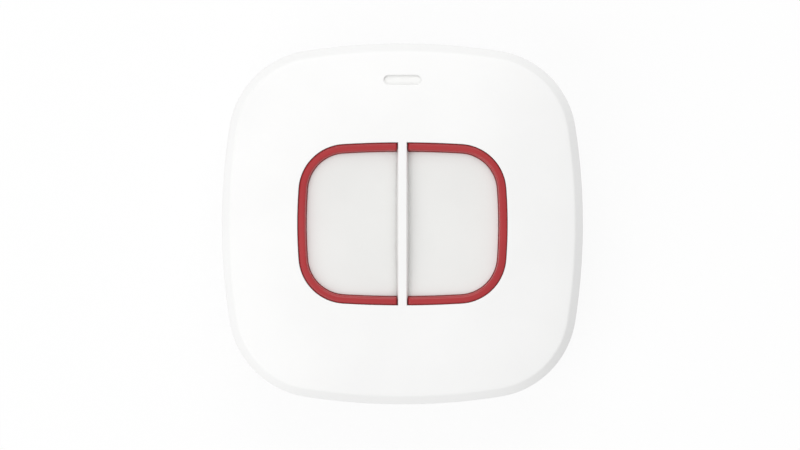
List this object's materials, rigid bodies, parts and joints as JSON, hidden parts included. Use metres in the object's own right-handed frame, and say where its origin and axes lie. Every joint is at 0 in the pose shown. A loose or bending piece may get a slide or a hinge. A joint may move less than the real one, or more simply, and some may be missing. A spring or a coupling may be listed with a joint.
{
  "type": "wireless panic button",
  "caption": "Square domed wall-mounted wireless panic button with press pads in a red bezel, a bridge between the pads, an indicator slot and a slide-off wall bracket.",
  "frame": {"origin": "middle of the body in the plane of the wall, under the middle of the face", "axes": "+Z out of the face, +Y to the top edge with the indicator slot, +X to the right as seen from the front"},
  "size_m": [0.078, 0.078, 0.0234],
  "materials": {
    "white_plastic": "fine satin moulded white",
    "pad_plastic": "satin moulded warm white",
    "red_plastic": "semi-gloss moulded red",
    "grey_plastic": "moulded grey",
    "dark_plastic": "moulded black",
    "board_laminate": "green solder mask over glass-fibre laminate",
    "clear_plastic": "milky clear moulded",
    "spring_steel": "zinc plated or bright drawn steel",
    "cell_steel": "nickel plated steel",
    "contact_brass": "plated brass"
  },
  "bodies": {
    "bracket": {"wall_bracket": "white_plastic"},
    "housing": {"rear_cover": "white_plastic", "front_cover": "white_plastic", "red_bezel": "red_plastic", "key_guide": "grey_plastic", "left_key_springs": "spring_steel", "right_key_springs": "spring_steel", "left_switch_body": "dark_plastic", "right_switch_body": "dark_plastic", "circuit_board": "board_laminate", "light_pipe": "clear_plastic", "status_led": "clear_plastic", "coin_cell": "cell_steel", "cell_clip": "cell_steel", "cell_contact": "contact_brass", "radio_module": "cell_steel", "antenna_coil": "contact_brass", "tamper_switch": "dark_plastic", "tamper_spring": "spring_steel", "case_screws": "spring_steel", "board_screws": "spring_steel"},
    "left_pad": {"left_key": "pad_plastic", "left_switch_plunger": "red_plastic"},
    "right_pad": {"right_key": "pad_plastic", "right_switch_plunger": "red_plastic"},
    "tamper": {"tamper_plunger": "dark_plastic"}
  },
  "joints": [
    {"name": "bracket_slide", "type": "slide", "parent": "bracket", "child": "housing", "axis": [0, 1, 0], "range_m": [0, 0.005]},
    {"name": "left_pad_press", "type": "slide", "parent": "housing", "child": "left_pad", "axis": [0, 0, -1], "range_m": [0, 0.001], "stiffness_N_per_m": 900, "springref_m": -0.0002, "deforming": ["left_key_springs"]},
    {"name": "right_pad_press", "type": "slide", "parent": "housing", "child": "right_pad", "axis": [0, 0, -1], "range_m": [0, 0.001], "stiffness_N_per_m": 900, "springref_m": -0.0002, "deforming": ["right_key_springs"]},
    {"name": "tamper_extend", "type": "slide", "parent": "housing", "child": "tamper", "axis": [0, 0, -1], "range_m": [0, 0.0012], "stiffness_N_per_m": 40, "springref_m": 0.002, "deforming": ["tamper_spring"]}
  ]
}
